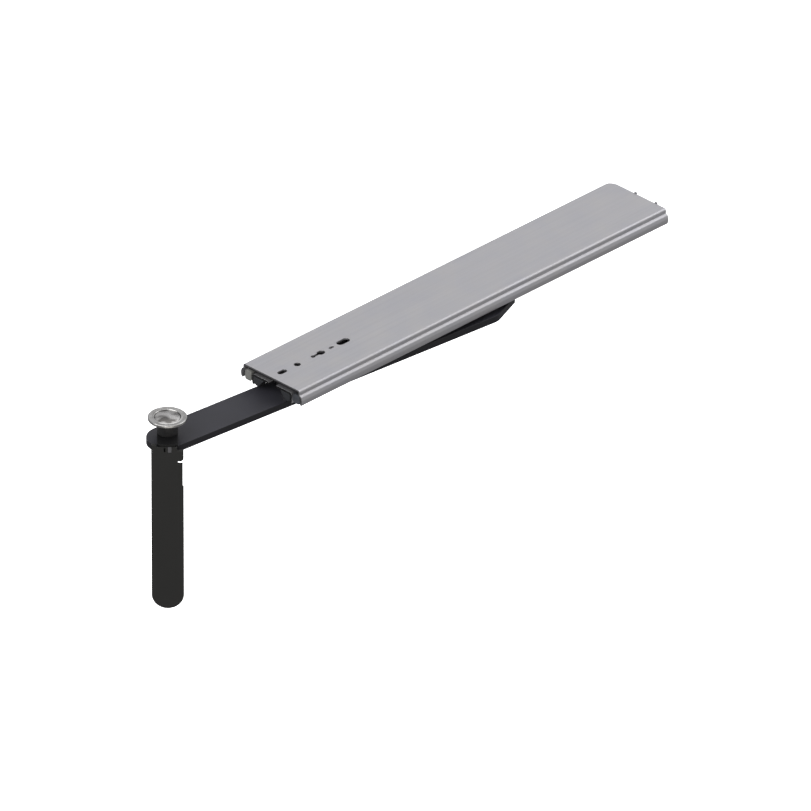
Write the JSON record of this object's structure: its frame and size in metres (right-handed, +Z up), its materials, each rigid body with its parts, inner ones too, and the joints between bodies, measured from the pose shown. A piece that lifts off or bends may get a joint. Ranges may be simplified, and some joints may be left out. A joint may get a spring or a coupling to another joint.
{
  "type": "cabinet drawer slide",
  "caption": "Flat three-member ball-bearing cabinet slide with a swing arm under it, ending in a capped post and a long hanging paddle handle.",
  "frame": {"origin": "centre of the outer member's top face, the face that screws under the cabinet", "axes": "+Z up out of the top face, +Y along the slide to its rear, so the slide opens towards -Y, and +X to the side where the arm's tail stands out"},
  "size_m": [0.0777, 0.5979, 0.1826],
  "materials": {
    "zinc_steel": "bright zinc plated, satin",
    "cage_steel": "plain rolled strip with polished balls",
    "plain_steel": "turned, lightly oiled",
    "stainless": "polished stainless",
    "black_steel": "black powder coat, satin",
    "black_post": "black oxide, satin",
    "dark_plastic": "moulded acetal, matte",
    "pale_plastic": "moulded acetal, matte",
    "rubber": "moulded rubber",
    "bronze": "sintered bearing bronze"
  },
  "bodies": {
    "outer": {"outer_member": "zinc_steel", "outer_rear_bumper": "rubber"},
    "outer_retainer": {"outer_ball_cage": "cage_steel"},
    "intermediate": {"intermediate_member": "zinc_steel", "end_cap_left": "pale_plastic", "end_cap_right": "dark_plastic", "intermediate_rear_bumper": "rubber"},
    "inner_retainer": {"inner_ball_cage": "cage_steel"},
    "inner": {"inner_member": "zinc_steel", "front_guide_left": "dark_plastic", "front_guide_right": "dark_plastic", "pivot_boss": "plain_steel", "pivot_screw": "plain_steel", "pivot_retainer": "plain_steel"},
    "arm": {"swing_arm": "black_steel", "pivot_bush": "bronze", "upper_thrust_washer": "dark_plastic", "lower_thrust_washer": "dark_plastic", "stop_pin": "plain_steel", "stop_sleeve": "rubber", "handle_bush": "bronze"},
    "handle": {"handle_foot": "black_post", "handle_post": "black_post", "handle_shaft": "plain_steel", "handle_retainer": "plain_steel", "paddle_clip": "plain_steel", "cap_flange": "stainless", "rod_spring": "plain_steel", "paddle": "black_steel"},
    "button": {"cap_button": "stainless", "button_rod": "plain_steel"}
  },
  "joints": [
    {"name": "intermediate_slide", "type": "slide", "parent": "outer", "child": "intermediate", "axis": [0, -1, 0], "range_m": [0, 0.2286]},
    {"name": "outer_cage_roll", "type": "slide", "parent": "outer", "child": "outer_retainer", "axis": [0, -1, 0], "range_m": [0, 0.1143]},
    {"name": "inner_slide", "type": "slide", "parent": "intermediate", "child": "inner", "axis": [0, -1, 0], "range_m": [0, 0.2286]},
    {"name": "inner_cage_roll", "type": "slide", "parent": "intermediate", "child": "inner_retainer", "axis": [0, -1, 0], "range_m": [0, 0.1143]},
    {"name": "arm_swing", "type": "hinge", "parent": "inner", "child": "arm", "pos_m": [0, -0.1992, -0.0224], "axis": [0, 0, 1], "range_deg": [-14.3, 25.7]},
    {"name": "handle_turn", "type": "hinge", "parent": "arm", "child": "handle", "pos_m": [-0.0143, -0.34249, -0.0224], "axis": [0, 0, 1], "range_deg": [-135, 40]},
    {"name": "button_press", "type": "slide", "parent": "handle", "child": "button", "axis": [0, 0, -1], "range_m": [0, 0.0025], "stiffness_N_per_m": 800, "springref_m": -0.003, "deforming": ["rod_spring"]}
  ],
  "couplings": [
    {"joint": "outer_cage_roll", "follows": "intermediate_slide", "ratio": 0.5},
    {"joint": "inner_cage_roll", "follows": "inner_slide", "ratio": 0.5}
  ]
}
